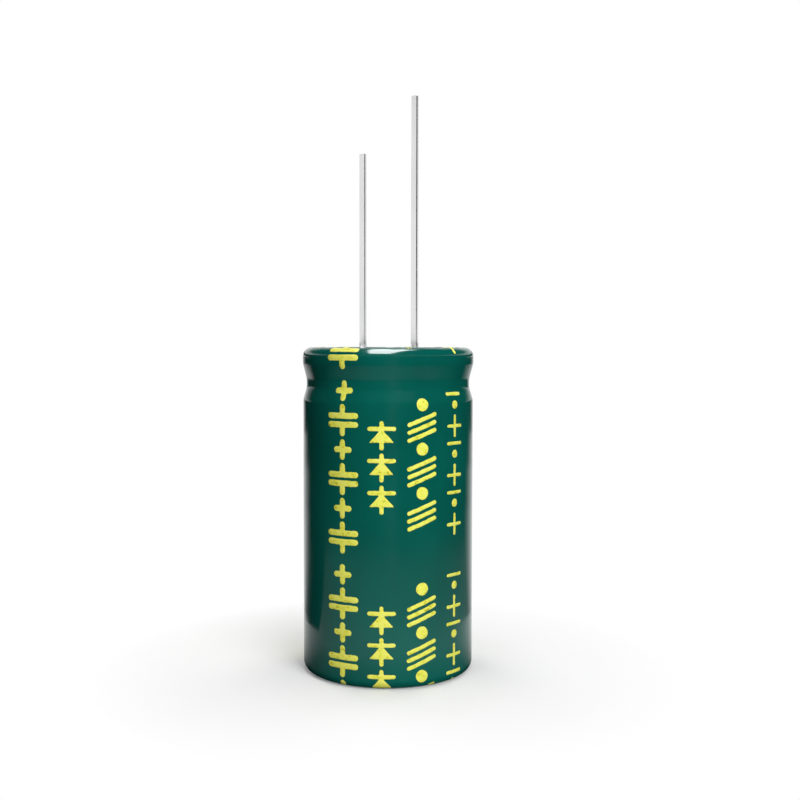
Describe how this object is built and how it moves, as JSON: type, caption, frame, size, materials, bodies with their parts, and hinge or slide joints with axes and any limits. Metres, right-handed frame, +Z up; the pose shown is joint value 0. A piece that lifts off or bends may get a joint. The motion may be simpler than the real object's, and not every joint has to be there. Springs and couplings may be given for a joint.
{
  "type": "radial aluminium electrolytic capacitor",
  "caption": "Radial-lead aluminium electrolytic capacitor: beaded can in a printed shrink sleeve, rubber bung, tabs and roll inside, and unequal wire leads.",
  "frame": {"origin": "centre of the underside of the sleeve, where the closed end of the can stands", "axes": "+Z up the can and out along the leads; +X towards the positive lead"},
  "size_m": [0.0184, 0.0185, 0.0612],
  "materials": {
    "sleeve_film": "gloss dark teal green shrink film",
    "can_aluminium": "drawn, semi-bright",
    "bung_rubber": "matt moulded",
    "tinned_wire": "bright tinned",
    "tab_aluminium": "matt",
    "roll_paper": "paper soaked in electrolyte",
    "tape_film": "clear brown tape",
    "ink": "printed, slightly raised"
  },
  "bodies": {
    "root": {"sleeve": "sleeve_film", "can": "can_aluminium", "rubber_bung": "bung_rubber", "positive_lead": "tinned_wire", "negative_lead": "tinned_wire", "positive_tab": "tab_aluminium", "negative_tab": "tab_aluminium", "wound_element": "roll_paper", "closing_tape": "tape_film", "sleeve_print": "ink", "polarity_stripe": "ink"}
  },
  "joints": []
}
